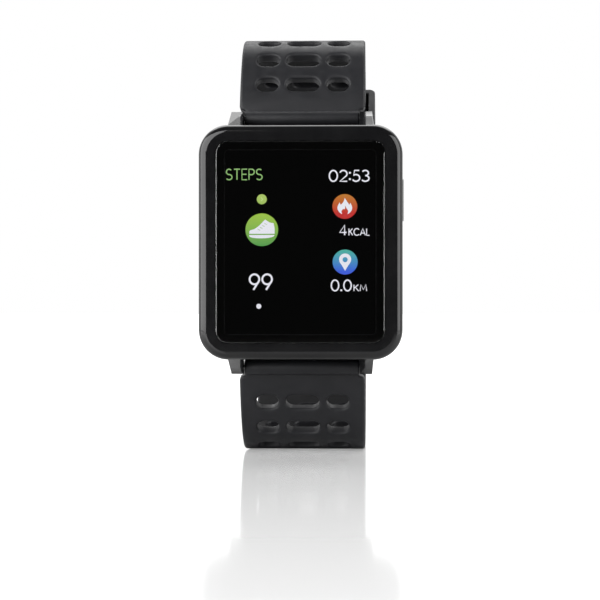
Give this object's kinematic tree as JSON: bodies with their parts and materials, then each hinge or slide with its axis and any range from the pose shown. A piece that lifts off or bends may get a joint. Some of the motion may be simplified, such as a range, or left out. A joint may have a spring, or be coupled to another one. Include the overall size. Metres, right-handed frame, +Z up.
{
  "type": "smartwatch",
  "caption": "Rectangular smartwatch with a dark cover glass, lugs with spring bars and a slotted rubber strap closed by a tang buckle and keepers.",
  "frame": {"origin": "middle of the flat stretch of strap that the watch stands on", "axes": "+X to the wearer's view right across the display, +Y from the display towards the wrist and the buckle, +Z up along the display's height"},
  "size_m": [0.0385, 0.0598, 0.0801],
  "materials": {
    "case": "polished black",
    "cover_glass": "polished",
    "seal": "matte",
    "display": "smooth",
    "backplate": "sheet",
    "flex": "polyimide film",
    "chassis": "moulded",
    "battery": "foil pouch",
    "board": "solder mask",
    "shield": "tinned",
    "chip": "moulded",
    "rear_cover": "fine texture",
    "screw": "blackened",
    "sensor_window": "smoked",
    "led": "clear green",
    "photodiode": "smooth",
    "gold": "gold plated",
    "button": "satin",
    "bar": "turned",
    "strap": "silicone, satin",
    "keeper": "silicone, satin",
    "buckle": "black coated"
  },
  "bodies": {
    "case": {"case_frame": "case", "cover_glass": "cover_glass", "glass_seal": "seal", "display_panel": "display", "display_backplate": "backplate", "display_flex": "flex", "chassis": "chassis", "battery": "battery", "main_board": "board", "shield_can": "shield", "processor": "chip", "memory_chip": "chip", "vibration_motor": "shield", "rear_cover": "rear_cover", "rear_seal": "seal", "rear_screws": "screw", "sensor_window": "sensor_window", "sensor_board": "board", "sensor_leds": "led", "photodiode": "photodiode", "charging_contacts": "gold", "button_seal": "seal", "button_switch": "shield", "button_board": "board", "upper_bar_tube": "bar", "upper_bar_spring": "bar", "lower_bar_tube": "bar", "lower_bar_spring": "bar"},
    "side_button": {"side_button": "button", "button_clip": "screw"},
    "upper_tip_left": {"upper_tip_left": "bar"},
    "upper_tip_right": {"upper_tip_right": "bar"},
    "lower_tip_left": {"lower_tip_left": "bar"},
    "lower_tip_right": {"lower_tip_right": "bar"},
    "upper_strap": {"upper_strap": "strap", "fixed_keeper": "keeper"},
    "lower_strap": {"lower_strap": "strap"},
    "free_keeper": {"free_keeper": "keeper"},
    "buckle": {"buckle_frame": "buckle", "buckle_pin": "bar"},
    "buckle_tang": {"buckle_tang": "buckle"}
  },
  "joints": [
    {"name": "side_button_press", "type": "slide", "parent": "case", "child": "side_button", "axis": [-1, 0, 0], "range_m": [0, 0.0004], "stiffness_N_per_m": 3000, "springref_m": -0.0001},
    {"name": "upper_tip_left_slide", "type": "slide", "parent": "case", "child": "upper_tip_left", "axis": [1, 0, 0], "range_m": [0, 0.0011], "stiffness_N_per_m": 1500, "springref_m": -0.001, "deforming": ["upper_bar_spring"]},
    {"name": "upper_tip_right_slide", "type": "slide", "parent": "case", "child": "upper_tip_right", "axis": [-1, 0, 0], "range_m": [0, 0.0011], "stiffness_N_per_m": 1500, "springref_m": -0.001},
    {"name": "lower_tip_left_slide", "type": "slide", "parent": "case", "child": "lower_tip_left", "axis": [1, 0, 0], "range_m": [0, 0.0011], "stiffness_N_per_m": 1500, "springref_m": -0.001, "deforming": ["lower_bar_spring"]},
    {"name": "lower_tip_right_slide", "type": "slide", "parent": "case", "child": "lower_tip_right", "axis": [-1, 0, 0], "range_m": [0, 0.0011], "stiffness_N_per_m": 1500, "springref_m": -0.001},
    {"name": "upper_strap_hinge", "type": "hinge", "parent": "case", "child": "upper_strap", "pos_m": [0, -0.02287, 0.06369], "axis": [1, 0, 0], "range_deg": [-0.15, 0.15]},
    {"name": "lower_strap_hinge", "type": "hinge", "parent": "case", "child": "lower_strap", "pos_m": [0, -0.02287, 0.01639], "axis": [1, 0, 0], "range_deg": [-0.15, 0.15]},
    {"name": "free_keeper_slide", "type": "hinge", "parent": "upper_strap", "child": "free_keeper", "pos_m": [0, -0.0085, 0.04608], "axis": [1, 0, 0], "range_deg": [-1.2, 11.5]},
    {"name": "buckle_hinge", "type": "hinge", "parent": "upper_strap", "child": "buckle", "pos_m": [0, 0.02445, 0.03852], "axis": [1, 0, 0], "range_deg": [0, 5]},
    {"name": "tang_hinge", "type": "hinge", "parent": "buckle", "child": "buckle_tang", "pos_m": [0, 0.02445, 0.03852], "axis": [1, 0, 0], "range_deg": [0, 10]}
  ],
  "couplings": [
    {"joint": "upper_strap_hinge", "follows": "lower_strap_hinge", "ratio": 1}
  ]
}
